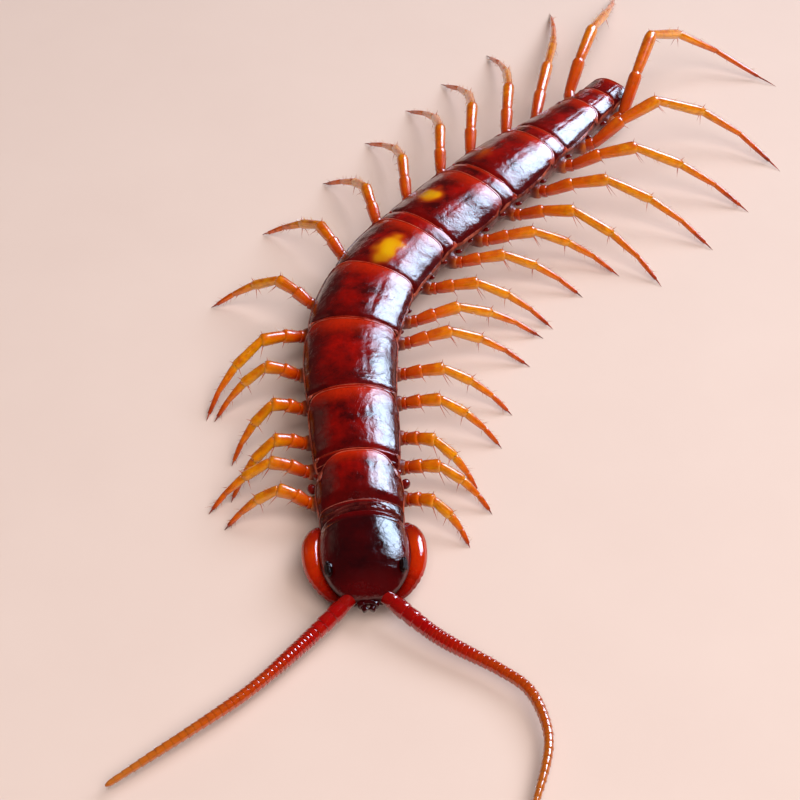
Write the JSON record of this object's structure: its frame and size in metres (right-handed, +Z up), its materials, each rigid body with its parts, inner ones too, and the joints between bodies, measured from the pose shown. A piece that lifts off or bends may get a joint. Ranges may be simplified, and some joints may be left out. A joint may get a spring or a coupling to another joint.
{
  "type": "stone centipede",
  "caption": "Life-size still model of a walking stone centipede with its tail swung to one side, standing on its feet.",
  "frame": {"origin": "middle of the model's box, on the floor that the feet stand on", "axes": "+Z up, the head points to -Y and the tail to +Y, the animal's left is +X at the head"},
  "size_m": [0.0247, 0.0441, 0.0035],
  "materials": {
    "head_shell": "glossy dark maroon cuticle",
    "trunk_shell": "glossy blood-red cuticle with paler rims",
    "forcipule": "glossy red-orange cuticle",
    "leg": "amber to orange, semi-gloss",
    "antenna": "red to orange-brown, ringed, semi-gloss",
    "eye": "glossy black lenses"
  },
  "bodies": {
    "root": {"head": "head_shell", "forcipule_base": "forcipule", "forcipule_left": "forcipule", "forcipule_right": "forcipule", "eye_left": "eye", "eye_right": "eye", "antenna_left": "antenna", "antenna_right": "antenna", "segment_01": "trunk_shell", "segment_02": "trunk_shell", "segment_03": "trunk_shell", "segment_04": "trunk_shell", "segment_05": "trunk_shell", "segment_06": "trunk_shell", "segment_07": "trunk_shell", "segment_08": "trunk_shell", "segment_09": "trunk_shell", "segment_10": "trunk_shell", "segment_11": "trunk_shell", "segment_12": "trunk_shell", "segment_13": "trunk_shell", "segment_14": "trunk_shell", "segment_15": "trunk_shell", "segment_16": "trunk_shell", "leg_left_01": "leg", "leg_right_01": "leg", "leg_left_02": "leg", "leg_right_02": "leg", "leg_left_03": "leg", "leg_right_03": "leg", "leg_left_04": "leg", "leg_right_04": "leg", "leg_left_05": "leg", "leg_right_05": "leg", "leg_left_06": "leg", "leg_right_06": "leg", "leg_left_07": "leg", "leg_right_07": "leg", "leg_left_08": "leg", "leg_right_08": "leg", "leg_left_09": "leg", "leg_right_09": "leg", "leg_left_10": "leg", "leg_right_10": "leg", "leg_left_11": "leg", "leg_right_11": "leg", "leg_left_12": "leg", "leg_right_12": "leg", "leg_left_13": "leg", "leg_right_13": "leg", "leg_left_14": "leg", "leg_right_14": "leg", "leg_left_15": "leg", "leg_right_15": "leg"}
  },
  "joints": []
}
